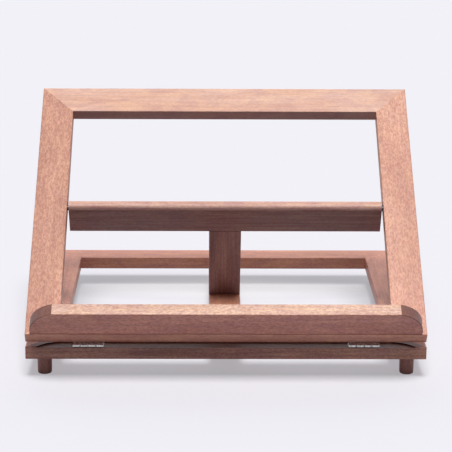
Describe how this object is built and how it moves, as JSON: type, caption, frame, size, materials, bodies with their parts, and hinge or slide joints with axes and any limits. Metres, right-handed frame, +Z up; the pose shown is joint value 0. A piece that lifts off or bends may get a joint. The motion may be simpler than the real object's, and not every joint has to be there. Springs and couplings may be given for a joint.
{
  "type": "reading stand",
  "caption": "Folding wooden tabletop reading stand: easel frame with a ledge, hinged to a base frame and held by a T prop in a notched rack.",
  "frame": {"origin": "on the table, under the middle of the stand's overall box as it stands in use", "axes": "+X to the reader's right along the hinge axis, +Y away from the reader, +Z up"},
  "size_m": [0.4, 0.368, 0.2437],
  "materials": {
    "base_wood": "satin",
    "easel_wood": "satin",
    "ledge_wood": "satin",
    "prop_wood": "satin",
    "rack_wood": "satin",
    "foot_wood": "satin",
    "hinge_steel": "satin",
    "screw_steel": "satin",
    "pivot_steel": "satin"
  },
  "bodies": {
    "base": {"base_back_rail": "base_wood", "base_front_rail": "base_wood", "base_leaf_screws_left": "screw_steel", "base_leaf_screws_right": "screw_steel", "base_left_rail": "base_wood", "base_right_rail": "base_wood", "foot_back_left": "foot_wood", "foot_back_right": "foot_wood", "foot_front_left": "foot_wood", "foot_front_right": "foot_wood", "hinge_base_leaf_left": "hinge_steel", "hinge_base_leaf_right": "hinge_steel", "hinge_pin_left": "hinge_steel", "hinge_pin_right": "hinge_steel", "rack_board": "rack_wood"},
    "easel": {"easel_bottom_rail": "easel_wood", "easel_leaf_screws_left": "screw_steel", "easel_leaf_screws_right": "screw_steel", "easel_left_stile": "easel_wood", "easel_right_stile": "easel_wood", "easel_top_rail": "easel_wood", "hinge_easel_leaf_left": "hinge_steel", "hinge_easel_leaf_right": "hinge_steel", "ledge": "ledge_wood", "pivot_pin_left": "pivot_steel", "pivot_pin_right": "pivot_steel", "pivot_washer_left": "pivot_steel", "pivot_washer_right": "pivot_steel"},
    "prop": {"prop_crossbar": "prop_wood", "prop_post": "prop_wood"}
  },
  "joints": [
    {"name": "easel_tilt", "type": "hinge", "parent": "base", "child": "easel", "pos_m": [0, -0.15998, 0.03365], "axis": [1, 0, 0], "range_deg": [0, 53.3]},
    {"name": "prop_swing", "type": "hinge", "parent": "easel", "child": "prop", "pos_m": [0, -0.02729, 0.14082], "axis": [1, 0, 0], "range_deg": [0, 98.6]}
  ]
}
